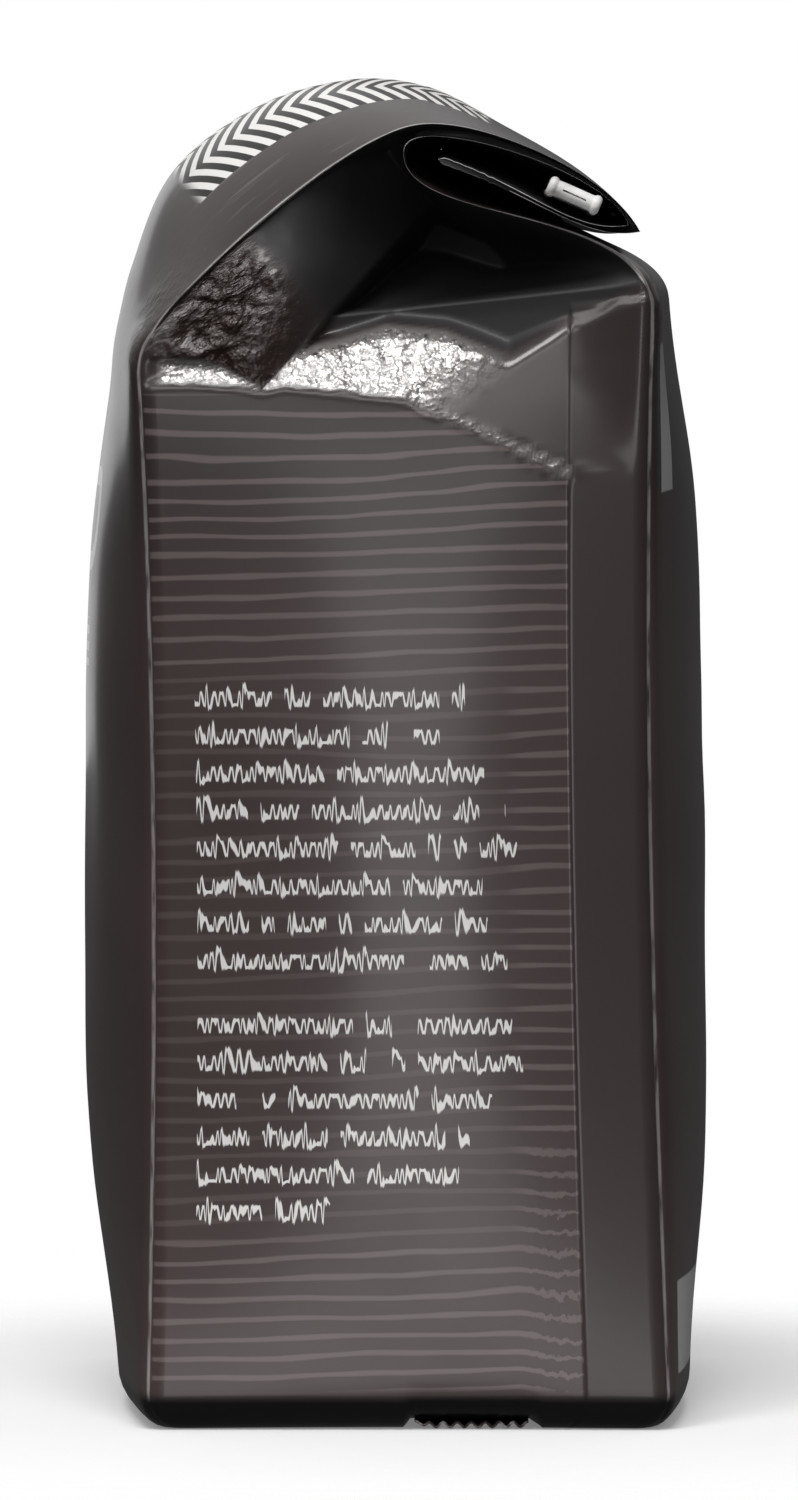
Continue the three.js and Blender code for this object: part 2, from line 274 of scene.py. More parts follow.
def crease_noise(x, y, cell, seed, octaves=3):
    """Crumple, about 0 to 1: sharp valleys where smooth noise changes sign, at several sizes."""
    total = np.zeros(np.broadcast(x, y).shape)
    size = 1.0
    for k in range(octaves):
        turn = 0.6 + 0.9 * k
        u = x * math.cos(turn) + y * math.sin(turn)
        v = y * math.cos(turn) - x * math.sin(turn)
        total += size * np.abs(lattice_noise(u, v, cell / 2**k, seed + k))
        size *= 0.5
    return total / 1.2


# The folded gusset


def fold_parts(z, lines, lobe_slope):
    """Depths of the roof over a gusset's crease, of the steep part above it, and of the lobe before both."""
    crease, steep, edge = lines
    lobe = LOBE_DEPTH + lobe_slope * soft_positive(z - edge, 2.0)
    lobe = lobe + LOBE_EDGE_SLOPE * soft_positive(edge - z, 0.5)
    return ROOF_SLOPE * soft_positive(z - crease, 0.8), STEEP_SLOPE * soft_positive(z - steep, 1.6), lobe


def near_fold(x, z, lines):
    """Depth of the near gusset's folds: a crinkled roof, a flatter facet by the lap seam, and a lobe."""
    roof, steep, lobe = fold_parts(z, lines, 0.03)
    along_x, up = x - DIAGONAL_START[0], z - DIAGONAL_START[1]
    above_diagonal = 0.422 * along_x + 0.907 * up
    left_of_facet = 0.72 * up - 0.60 * along_x
    rounding = 0.4 + 5 * smooth_step(SEAM_X - 2, SEAM_X + 5, x)
    facet = 0.14 * soft_positive(above_diagonal, rounding) + 0.5 * soft_positive(left_of_facet, 2.5)
    band = 1 - smooth_step(SEAM_X, SEAM_X + 11, x)
    low = soft_min(roof, facet, 0.6) * band
    lobe = lobe + 1.2 * soft_positive(x + 17.5 - 0.2 * (z - 156), 5.0)
    return np.maximum(soft_min(low + steep, lobe, 0.5), 0)


def far_fold(x, z, lines):
    """Depth of the far gusset's folds: a roof all the way across, with a lobe at the back panel's side."""
    roof, steep, lobe = fold_parts(z, lines, 0.05)
    lobe = lobe + soft_positive(9 - x, 5.0)
    return np.maximum(soft_min(roof + steep, lobe, 0.5), 0)


def fold_marks(x, z, lines, near):
    """How crackled the roof is, how tossed about the lobe, and how deep in the dark the film, from 0 to 1."""
    crease, steep, edge = lines
    if near:
        facet = smooth_step(-1.5, 6.5, 0.6 * (x - DIAGONAL_START[0]) - 0.72 * (z - DIAGONAL_START[1]))
        facet = np.maximum(facet, 1 - smooth_step(-36.5, -34.5, x))
        lobe_x, past_lobe = x + 26, x + 10.1 + 0.86 * (z - 162.5)
    else:
        facet = smooth_step(20, 24, -x)
        lobe_x, past_lobe = 20 - x, 4.0 - x + 0.86 * (z - 162.5)
    roof = smooth_step(-0.2, 0.8, z - crease) * (1 - smooth_step(-0.3, 1.2, z - steep)) * (1 - facet)
    roof = roof * (1 - smooth_step(-0.4, 0.6, z - edge))
    if near:
        diagonal = bell(z - crease, 0.8) * smooth_step(0, 3, x) * (1 - smooth_step(25, 26, x))
        roof = np.maximum(roof, 0.8 * diagonal)
    # The dark mark says where shade is painted into the colour: the cavity past the lobe, above the steep
    # part.
    dark = smooth_step(-1.5, 5.0, past_lobe) * smooth_step(0.0, 2.2, z - steep)
    tossed = bell(lobe_x, 9) * smooth_step(-0.5, 1.0, z - edge) * (1 - smooth_step(172, 180, z))
    return roof, tossed * (1 - dark), dark


def gusset_depth(x, z, rows, place, near, crumple):
    """Depth of the gusset inside its corner lines, with the three marks of the film there."""
    stretch, t, chord = (rows[name][:, None] for name in ("stretch", "t", "chord"))
    half = chord / 2
    slack = np.sqrt(np.maximum((GUSSET_WIDTH / 2) ** 2 - half * half, 0))
    fade = np.where(stretch == 1, smooth_step(0.55, 1.0, t), stretch > 1)
    closed = CLOSED_PLEAT * np.where(stretch == 3, 1 - t, 1.0)
    limit = DEEPEST_FOLD * (1 - fade) + closed * fade
    opening = np.where(stretch == 1, 2.2 * smooth_step(0.0, 0.25, t), 0)
    steepness = np.maximum(np.maximum(WALL_SLOPE, slack / half), opening)
    from_edge = np.minimum(place, 1 - place) * chord
    past_limit = INNER_SLOPE * np.maximum(from_edge - half / 2, 0) * (1 - fade)
    wall = np.minimum(steepness * from_edge, limit * np.minimum(1, 2 * from_edge / half) + past_limit)
    lines = [polyline(x, line) for line in (NEAR_FOLDS if near else FAR_FOLDS)]
    roof, tossed, dark = fold_marks(x, z, lines, near)
    seed = SEED if near else SEED + 50
    coarse = crease_noise(x, z, 5.5, seed) - 0.35
    medium = crease_noise(x, z * 0.8, 3.0, seed + 9) - 0.35
    fine = crease_noise(x, z, 1.7, seed + 5, 2) - 0.35
    lumps = roof * (0.35 * coarse + 0.35 * medium + 0.3 * fine) + tossed * (1.8 * coarse + 1.1 * medium)
    hold = np.minimum(from_edge / 2.0, 1)
    fold = near_fold(x, z, lines) if near else far_fold(x, z, lines)
    depth = soft_min(wall, fold, np.clip(fold, 0.05, 2.0)) + crumple * hold * lumps
    folded = stretch < 2
    # Beyond the folded stretches the film lies inside the roll and is marked all over for painted shade.
    marks = [np.where(folded, mark, past) for mark, past in ((roof, 0), (tossed, 0), (dark, 1))]
    return np.where(folded, np.maximum(depth, -0.4), wall), np.stack(marks, axis=-1)


# Rows and columns of the film


def spread(width, inner, extra=()):
    """Places across a panel, in millimetres, closer together at its two folded edges."""
    ends = np.array(EDGE_STEPS)
    middle = np.linspace(ends[-1], width - ends[-1], inner + 2)[1:-1]
    return np.unique(np.concatenate([ends, middle, width - ends, np.array(extra, float)]))


def wall_rows(bands):
    """Places up the wall for rows at even heights within each band, given as (top height, spacing)."""
    t = np.linspace(0, 1, 2001)
    height = 0.5 * (bezier(FRONT_LINE[0], t)[:, 1] + bezier(BACK_LINE[0], t)[:, 1])
    targets = [FOOT_RADIUS]
    for top, spacing in bands:
        count = max(int(round((top - targets[-1]) / spacing)), 1)
        targets.extend(np.linspace(targets[-1], top, count + 1)[1:])
    return np.interp(targets, height, t)


def corner_rows(line, swells, aims, stretch, t):
    """A corner line at each row: its place, half the panel's width there, and how its panel swells."""
    place, swell, aim = np.zeros((len(t), 2)), np.zeros(len(t)), np.zeros(len(t))
    for k in range(4):
        here = stretch == k
        place[here] = bezier(line[k], t[here])
        swell[here] = along(swells[k], t[here])
        aim[here] = np.radians(along(aims[k], t[here]))
    half = PANEL_WIDTH / 2 - (4 / 3) * swell**2 / PANEL_WIDTH
    return np.column_stack([place, half, np.cos(aim) * swell, np.sin(aim) * swell])


def eased(rows, stretch, joints):
    """Rounds a corner line where two stretches meet, as (later stretch, reach, passes)."""
    for later, reach, passes in joints:
        joint = int(np.argmax(stretch == later))
        length = path_length(rows[:, :2])
        weight = bell(length - length[joint], reach)[1:-1, None]
        for _ in range(passes):
            rows[1:-1] += weight * 0.5 * (0.5 * (rows[:-2] + rows[2:]) - rows[1:-1])
    return rows


def bag_rows(bands, counts):
    """The two corner lines at every row of the film above its foot."""
    places = [wall_rows(bands)] + [np.linspace(0, 1, count + 1)[1:] for count in counts]
    t = np.concatenate(places)
    stretch = np.concatenate([np.full(len(p), k) for k, p in enumerate(places)])
    front = corner_rows(FRONT_LINE, FRONT_SWELL, FRONT_AIM, stretch, t)
    back = corner_rows(BACK_LINE, BACK_SWELL, BACK_AIM, stretch, t)
    front = eased(front, stretch, [(1, 5.0, 50), (2, 5.0, 60)])
    back = eased(back, stretch, [(1, 2.5, 12), (2, 3.0, 12)])
    chord = np.maximum(np.linalg.norm(back[:, :2] - front[:, :2], axis=1), 0.2)
    fold = np.where(stretch == 0, 1.0, np.where(stretch == 1, 1 - smooth_step(0.0, 0.2, t), 0.0))
    return {
        "stretch": stretch, "t": t, "front": front, "back": back, "chord": chord, "fold": fold,
        "front_length": path_length(front[:, :2]) + FOOT_RADIUS,
        "back_length": path_length(back[:, :2]) + FOOT_RADIUS,
    }


def drawn_in(distance, fold):
    """How far a folded edge is drawn in from a sharp corner, at a distance from it."""
    return 0.293 * FOLD_RADIUS * fold * np.clip(1 - distance / FOLD_RADIUS, 0, 1) ** 2


def gusset_block(rows, gusset, near, crumple):
    """One gusset's film, as rows by columns by xyz, with its marks and its lengths along the film."""
    place = (gusset / GUSSET_WIDTH)[None, :]
    place = place if near else 1 - place
    flat = rows["front"][:, None, :3] * (1 - place[..., None]) + rows["back"][:, None, :3] * place[..., None]
    x, z, half = flat[..., 0], flat[..., 1], flat[..., 2]
    depth, marks = gusset_depth(x, z, rows, place, near, crumple)
    rise = np.sin(math.pi * rows["t"]) * (rows["stretch"] == 0)
    depth = depth - GUSSET_SWELL * rise[:, None] * np.sin(math.pi * place)
    if near:
        lap = smooth_step(LAP_SEAM - 0.2, LAP_SEAM + 0.2, gusset)[None, :] * (rows["stretch"] < 1)[:, None]
        depth = depth - LAP_STEP * lap
    fold, chord = rows["fold"][:, None], rows["chord"][:, None]
    at_front, at_back = drawn_in(place * chord, fold), drawn_in((1 - place) * chord, fold)
    sign = -1 if near else 1
    points = np.stack([x + at_front - at_back, sign * (half - depth - at_front - at_back), z], axis=-1)
    length = rows["front_length"][:, None] * (1 - place) + rows["back_length"][:, None] * place
    return points, marks, length


def panel_block(rows, name, panel, direction, seed, crumple, pinch):
    """One panel's film, as rows by columns by xyz, with its marks and its lengths along the film."""
    place, half, out = rows[name][:, :2], rows[name][:, 2:3], rows[name][:, 3:5]
    across = direction * (2 * panel / PANEL_WIDTH - 1)[None, :]
    y = across * half
    reach = np.linalg.norm(out, axis=1)[:, None]
    away = out / np.maximum(reach, 1e-6)
    from_edge = half * (1 - np.abs(across))
    tuck = drawn_in(from_edge, rows["fold"][:, None])
    length = rows[name + "_length"][:, None] + 0 * y
    outside = (rows["stretch"] < 2)[:, None]
    ripple = 0.35 * np.minimum(from_edge / 8, 1) * lattice_noise(y, length, 19.0, seed)
    shoulder = bell(length - 168, 9) * bell(from_edge - 5, 6) * outside
    ripple = ripple * outside + crumple * 0.5 * shoulder * (crease_noise(y, length, 4.5, seed + 3) - 0.35)
    lift = (1 - np.abs(across) ** 2.3) * reach + ripple - tuck
    pressed = np.clip(1 - (y / 27) ** 2, 0, 1) ** 2
    x = place[:, :1] + away[:, :1] * lift + pinch[:, :1] * pressed
    z = place[:, 1:] + away[:, 1:] * lift + pinch[:, 1:] * pressed
    past_turn = rows["stretch"] > 1 if name == "back" else rows["stretch"] > 2
    # Past the turn the film is inside the roll, and the third mark gives it painted shade.
    marks = np.stack([0 * y, 0.4 * shoulder, 0 * y + past_turn[:, None]], axis=-1)
    return np.stack([x, y - np.sign(across) * tuck, z], axis=-1), marks, length


def flap_lift(rows):
    """How the folded-back end is pressed up against the tie at the middle of the bag."""
    x = rows["back"][:, 0]
    under_tie = smooth_step(22, 24, x) * (1 - smooth_step(31, 33, x)) * (rows["stretch"] == 3)
    return TIE_GAP * under_tie[:, None] * np.array([[math.sin(TIE_SLANT), math.cos(TIE_SLANT)]])


def fold_pinch(rows):
    """How the back panel's film is drawn in to the folded-back end at the middle of the bag."""
    stretch, back, front = rows["stretch"], rows["back"], rows["front"]
    middle = back[:, :2] + back[:, 3:5]
    flap = (0.5 * (middle + front[:, :2] + front[:, 3:5]) + flap_lift(rows))[stretch == 3]
    gap = flap[None, :, :] - middle[:, None, :]
    distance = np.linalg.norm(gap, axis=2)
    nearest = np.argmin(distance, axis=1)
    index = np.arange(len(middle))
    gap, distance = gap[index, nearest], distance[index, nearest]
    x, z = middle.T
    beside = (1 - smooth_step(23.8, 25.2, x)) * smooth_step(178, 182, z) * ((stretch == 1) | (stretch == 2))
    tip = smooth_step(29.8, 30.8, x) * (stretch == 2)
    part = np.clip(1 - 0.05 / np.maximum(distance, 0.01), 0, 1) * np.maximum(beside, tip)
    return gap * part[:, None]


def join_blocks(blocks):
    """Joins the four sides into one round, each side's last column being the next one's first."""
    joined = np.concatenate([block[:, :-1] for block in blocks[:3]] + [blocks[3]], axis=1)
    if joined.ndim == 3:
        joined[:, -1] = joined[:, 0]
    return joined


def foot_recess(x):
    """How much of the foot's recess over the bottom seam there is at each x, from 0 to 1."""
    return smooth_step(0.6, 1.8, x) * (1 - smooth_step(20.2, 21.4, x))


def foot_rows(lowest):
    """The rounded foot below the lowest ring, then the flat of the foot in to its middle."""
    centre = lowest.mean(axis=0)
    away = lowest[:, :2] - centre[:2]
    reach = np.hypot(away[:, 0], away[:, 1])[:, None]
    rows = []
    for k in range(FOOT_TURN_ROWS):
        angle = math.pi / 2 * (1 - k / FOOT_TURN_ROWS)
        flat = centre[:2] + away * (1 - FOOT_RADIUS * (1 - math.cos(angle)) / reach)
        height = FOOT_RADIUS * (1 - math.sin(angle))
        recess = FOOT_RECESS * foot_recess(flat[:, 0]) * math.sin(angle)
        rows.append(np.column_stack([flat, height + recess]))
    edge = rows[0][:, :2]
    for k in range(1, FOOT_FLAT_ROWS + 1):
        flat = centre[:2] + (edge - centre[:2]) * (1 - k / FOOT_FLAT_ROWS)
        rows.insert(0, np.column_stack([flat, FOOT_RECESS * foot_recess(flat[:, 0])]))
    rows[0] = np.tile(rows[0].mean(axis=0), (len(lowest), 1))
    return np.array(rows)


def close_seal(grid, rows, near_count, far_count, panel_count):
    """Presses crimps into the last of the film and closes its end, where front and back film meet."""
    from_end = rows["front_length"][-1] - rows["front_length"]
    pressed = 1 - smooth_step(SEAL_BAND - 0.5, SEAL_BAND + 0.5, from_end)
    grid[:, :, 2] += (CRIMP_HEIGHT * np.sin(2 * math.pi * from_end / CRIMP_PITCH) * pressed)[:, None]
    back_start = near_count - 1
    front_start = back_start + panel_count - 1 + far_count - 1
    back = slice(back_start, back_start + panel_count)
    front = slice(front_start, front_start + panel_count)
    last = grid[-1]
    middle = 0.5 * (last[back] + last[front][::-1])
    last[back] = middle
    last[front] = middle[::-1]
    last[:near_count] = middle[0]
    last[back_start + panel_count - 1:front_start + 1] = middle[-1]
    last[-1] = last[0]
    return grid


def film_grid(crumple):
    """All film points, as rows by columns by xyz in millimetres, with their marks and film coordinates."""
    rows = bag_rows(WALL_BANDS, TOP_ROWS)
    near = spread(GUSSET_WIDTH, NEAR_COLUMNS, extra=(LAP_SEAM - 0.25, LAP_SEAM, LAP_SEAM + 0.25))
    far = spread(GUSSET_WIDTH, FAR_COLUMNS)
    panel = spread(PANEL_WIDTH, PANEL_COLUMNS)
    lift = flap_lift(rows)
    sides = [
        gusset_block(rows, near, True, crumple),
        panel_block(rows, "back", panel, 1, SEED + 20, crumple, fold_pinch(rows) + lift),
        gusset_block(rows, far, False, crumple),
        panel_block(rows, "front", panel, -1, SEED + 30, crumple, lift),
    ]
    grid, marks, length = (join_blocks([side[k] for side in sides]) for k in range(3))
    around = [near[:-1], GUSSET_WIDTH + panel[:-1], FAR_GUSSET + far[:-1], FRONT_PANEL + panel]
    grid = close_seal(grid, rows, len(near), len(far), len(panel))
    foot = foot_rows(grid[0])
    below = FOOT_RADIUS - np.arange(len(foot), 0, -1) * 1.5
    grid = np.concatenate([foot, grid])
    marks = np.concatenate([np.zeros(foot.shape), marks])
    length = np.concatenate([np.tile(below[:, None], (1, length.shape[1])), length])
    return grid, marks, np.concatenate(around), length


# Making meshes


def deselect_all():
    bpy.ops.object.select_all(action="DESELECT")


def grid_object(name, points):
    """A primitive grid with one vertex for each of the points, given as rows by columns by xyz."""
    rows, columns = points.shape[:2]
    deselect_all()
    bpy.ops.mesh.primitive_grid_add(x_subdivisions=columns - 1, y_subdivisions=rows - 1, size=1)
    made = bpy.context.object
    made.name = name
    made.data.name = name
    place = np.zeros(rows * columns * 3)
    made.data.vertices.foreach_get("co", place)
    place = place.reshape(-1, 3)
    column = np.rint((place[:, 0] + 0.5) * (columns - 1)).astype(int)
    row = np.rint((place[:, 1] + 0.5) * (rows - 1)).astype(int)
    made.data.vertices.foreach_set("co", (points[row, column] * MM).astype(np.float32).ravel())
    made.data.update()
    return made, row, column


def clean_mesh():
    """Merges doubled points of the object in hand, drops what has no area, and turns its faces outwards."""
    bpy.ops.object.mode_set(mode="EDIT")
    bpy.ops.mesh.select_all(action="SELECT")
    bpy.ops.mesh.remove_doubles(threshold=0.00001)
    bpy.ops.mesh.select_all(action="SELECT")
    bpy.ops.mesh.dissolve_degenerate(threshold=0.000001)
    bpy.ops.mesh.select_all(action="SELECT")
    bpy.ops.mesh.normals_make_consistent(inside=False)
    bpy.ops.object.mode_set(mode="OBJECT")


def make_film(crumple):
    """The film, from a flat grid that is wrapped round into the bag."""
    grid, marks, around, length = film_grid(crumple)
    film, row, column = grid_object("bag_film", grid)
    loops = np.zeros(len(film.data.loops), np.int32)
    film.data.loops.foreach_get("vertex_index", loops)
    uv = np.column_stack([around[column[loops]], length[row[loops], column[loops]]])
    film.data.uv_layers[0].data.foreach_set("uv", uv.astype(np.float32).ravel())
    for k, name in enumerate(("roof", "tossed", "dark")):
        mark = film.data.attributes.new(name, "FLOAT", "POINT")
        mark.data.foreach_set("value", marks[row, column, k].astype(np.float32))
    clean_mesh()
    bpy.ops.object.shade_smooth()
    return film


def thicken(piece, thickness, group=""):
    """Gives a sheet its thickness, half to each side, and closes its cut edges."""
    solidify = piece.modifiers.new("thickness", "SOLIDIFY")
    solidify.thickness = thickness * MM
    solidify.offset = 0
    solidify.use_rim = True
    solidify.vertex_group = group
    bpy.ops.object.modifier_apply(modifier="thickness")
    clean_mesh()
    bpy.ops.object.shade_smooth_by_angle(angle=math.radians(40))


def make_bottom_seam():
    """The crimped seam under the foot: a pressed strip, waved across its reach and turned up at its root."""
    reach = np.linspace(0, SEAM_REACH, 69)
    wave = SEAM_WAVE * np.sin(2 * math.pi * (reach - 1.6) / SEAM_WAVE_PITCH) * smooth_step(1.0, 2.2, reach)
    wave = SEAM_LEVEL + wave + 0.6 * (1 - smooth_step(0, 1.2, reach))
    y = np.linspace(-SEAM_HALF_LENGTH, SEAM_HALF_LENGTH, 41)
    points = np.zeros((len(y), len(reach), 3))
    points[..., 0] = SEAM_ROOT_X + reach[None, :] + 0.25 * lattice_noise(y, 0 * y, 9.0, SEED + 70)[:, None]
    points[..., 1] = y[:, None]
    points[..., 2] = wave[None, :] + 0.08 * lattice_noise(y[:, None], reach[None, :], 6.0, SEED + 71)
    seam, _, _ = grid_object("bottom_seam", points)
    thicken(seam, SEAM_THICKNESS)
    return seam


def tie_path():
    """The tie's middle line, as y and level: a tail, round a hairpin, the long run, a hairpin and a tail."""
    turn = np.radians([0, 18, 36, 54, 68, 76, 83, 97, 104, 112, 126, 144, 162, 180])
    right = np.column_stack([TIE_HALF_SPAN + TIE_BEND * np.sin(turn), TIE_BEND * np.cos(turn)])
    left = right[::-1] * (-1, 1)
    tail = TIE_HALF_SPAN - TIE_TAIL
    run = np.linspace(-TIE_HALF_SPAN, TIE_HALF_SPAN, 41)[1:-1]
    inward = np.linspace(TIE_HALF_SPAN, tail, 9)[1:]
    path = np.concatenate([
        np.column_stack([-inward[::-1], np.full(8, -TIE_BEND)]),
        left,
        np.column_stack([run, np.full(39, TIE_BEND)]),
        right,
        np.column_stack([inward, np.full(8, -TIE_BEND)]),
    ])
    path[:, 1] += TIE_BOW * (1 - np.minimum(np.abs(path[:, 0]) / TIE_HALF_SPAN, 1) ** 2)
    return path


def make_tie():
    """The tin tie: a white strip with a wire along each edge, its ends doubled back under it."""
    path = tie_path()
    half = TIE_WIDTH / 2
    bead = np.array([0.0, 0.06, 0.2, 0.42, 0.72, 1.02, 1.24, 1.38, 1.44])
    across = np.concatenate([bead - half, np.linspace(1.7 - half, half - 1.7, 9), (half - bead)[::-1]])
    up = path[:, 1:] + 0.07 * lattice_noise(path[:, :1], across[None, :], 5.0, SEED + 80)
    points = np.zeros((len(path), len(across), 3))
    points[..., 0] = TIE_CENTRE[0] + across[None, :] * math.cos(TIE_SLANT) + up * math.sin(TIE_SLANT)
    points[..., 1] = path[:, :1]
    points[..., 2] = TIE_CENTRE[2] - across[None, :] * math.sin(TIE_SLANT) + up * math.cos(TIE_SLANT)
    tie, row, column = grid_object("tin_tie_strip", points)
    from_edge = half - np.abs(across)
    wire = np.sqrt(np.maximum(1 - ((from_edge - WIRE / 2) / (WIRE / 2)) ** 2, 0)) * WIRE
    thickness = np.maximum(np.maximum(wire, WEB * (from_edge > WIRE / 2)), 0.12) / WIRE
    group = tie.vertex_groups.new(name="thickness")
    for k in range(len(across)):
        group.add([int(i) for i in np.nonzero(column == k)[0]], float(thickness[k]), "REPLACE")
    crown = (np.abs(path[:, 1]) < 0.15) & (np.abs(path[:, 0]) > TIE_HALF_SPAN)
    cut_out(tie, crown[row] & (np.abs(across) < half - 1.2 * WIRE)[column])
    thicken(tie, WIRE, "thickness")
    return tie


def cut_out(piece, chosen):
    """Removes the faces of the object in hand whose points are all chosen."""
    bpy.ops.object.mode_set(mode="EDIT")
    bpy.ops.mesh.select_mode(type="FACE")
    bpy.ops.mesh.select_all(action="DESELECT")
    bpy.ops.object.mode_set(mode="OBJECT")
    for face in piece.data.polygons:
        face.select = all(chosen[v] for v in face.vertices)
    bpy.ops.object.mode_set(mode="EDIT")
    bpy.ops.mesh.delete(type="FACE")
    bpy.ops.mesh.select_mode(type="VERT")
    bpy.ops.object.mode_set(mode="OBJECT")


# Materials


def rgb(code):
    """Linear colour of an sRGB hex value."""
    parts = [int(code[i:i + 2], 16) / 255 for i in (1, 3, 5)]
    return [p / 12.92 if p <= 0.04045 else ((p + 0.055) / 1.055) ** 2.4 for p in parts] + [1.0]


def new_material(name):
    """A material with its node tree and its Principled shader."""
    material = bpy.data.materials.new(name)
    material.use_nodes = True
    return material, material.node_tree, material.node_tree.nodes["Principled BSDF"]


def set_inputs(tree, node, inputs):
    """Sets a node's inputs, each to a value or to a link from another node's output."""
    for key, value in inputs.items():
        if isinstance(value, bpy.types.NodeSocket):
            tree.links.new(value, node.inputs[key])
        else:
            node.inputs[key].default_value = value


def add_node(tree, kind, inputs=None, out=0, **settings):
    """Adds a shader node, sets its properties and its inputs, and returns one of its outputs."""
    node = tree.nodes.new("ShaderNode" + kind)
    for name, value in settings.items():
        setattr(node, name, value)
    set_inputs(tree, node, inputs or {})
    return node.outputs[out] if node.outputs else node


def work_out(tree, values, steps):
    """Adds a node for each step, (name, operation, inputs), and keeps its output under the step's name.

    RAMP goes smoothly from 0 to 1 as its first input goes from its second to its third, and ALL multiplies
    all of its inputs.
    """
    for name, operation, *inputs in steps:
        inputs = [values[v] if isinstance(v, str) else v for v in inputs]
        numbered = dict(enumerate(inputs))
        if operation == "RAMP":
            values[name] = add_node(tree, "MapRange", numbered, interpolation_type="SMOOTHSTEP")
        elif operation == "ALL":
            values[name] = inputs[0]
            for factor in inputs[1:]:
                values[name] = add_node(tree, "Math", {0: values[name], 1: factor}, operation="MULTIPLY")
        else:
            values[name] = add_node(tree, "Math", numbered, operation=operation)


def noise_at(tree, vector, scale, detail=1.0):
    """Noise from 0 to 1 over the film, its scale in lumps for each millimetre round and up the bag."""
    stretched = add_node(tree, "Mapping", {"Vector": vector, "Scale": (scale[0], scale[1], 1)})
    return add_node(tree, "TexNoise", {"Vector": stretched, "Scale": 1.0, "Detail": detail, "Roughness": 0.5})


# Lines of word marks on the near gusset: where they start and end, in millimetres from its front edge
WORD_START = 7.4
WORD_ENDS = [49.0, 46.6, 51.8, 55.0, 56.7, 51.3, 52.0, 55.2, 55.5, 57.0, 52.2, 48.7, 47.0, 27.5]
WORD_PITCH = 5.6
WORD_TOPS = (109.7, 60.9)
UPPER_LINES = 8
LETTER_PITCH = 1.98
SCRIBBLE_PITCH = 1.5
STROKE = 0.40

# Other print: pitch of the fine lines and their top at the fold, and the zigzag stripes with their folds
LINE_PITCH = 3.0
LINE_TOP = 155.2
STRIPE_PITCH = 2.35
STRIPE_FOLD = 24.0
STRIPE_RISE = 7.5


def line_print(tree, values, uv):
    """Fine wavy lines across each gusset below its fold, pale brown, 3 mm apart."""
    values["slow"] = noise_at(tree, uv, (0.014, 0.055))
    values["quick"] = noise_at(tree, uv, (0.07, 0.30))
    values["grain"] = noise_at(tree, uv, (0.9, 0.7), 2.0)
    values["weight"] = noise_at(tree, uv, (0.10, 0.5))
    work_out(tree, values, [
        ("wave_a", "MULTIPLY_ADD", "slow", 5.0, "v"),
        ("wave_b", "MULTIPLY_ADD", "quick", 0.9, "wave_a"),
        ("low_end", "RAMP", "v", 52.0, 24.0),
        ("right_end", "RAMP", "g", 55.0, 62.0),
        ("tangle", "MULTIPLY", "low_end", "right_end"),
        ("grain_size", "MULTIPLY", "tangle", 2.6),
        ("wave_c", "MULTIPLY_ADD", "grain", "grain_size", "wave_b"),
        ("rise", "MULTIPLY_ADD", "g", -0.028, "wave_c"),
        ("phase", "ADD", "rise", LINE_PITCH / 2),
        ("distance", "PINGPONG", "phase", LINE_PITCH / 2),
        ("width", "MULTIPLY_ADD", "weight", 0.30, 0.08),
        ("outer", "ADD", "width", 0.32),
        ("drawn", "RAMP", "distance", "outer", "width"),
        ("from_left", "RAMP", "g", 0.4, 1.2),
        ("to_right", "RAMP", "g", LAP_SEAM, LAP_SEAM - 0.3),
        ("slope", "MULTIPLY_ADD", "g", -0.465, 173.4),
        ("top", "MINIMUM", "slope", LINE_TOP),
        ("to_top", "SUBTRACT", "top", "v"),
        ("under", "RAMP", "to_top", 0.0, 0.6),
        ("above_foot", "RAMP", "v", FOOT_RADIUS, 7.0),
        ("lines", "ALL", "drawn", "from_left", "to_right", "under", "above_foot"),
    ])


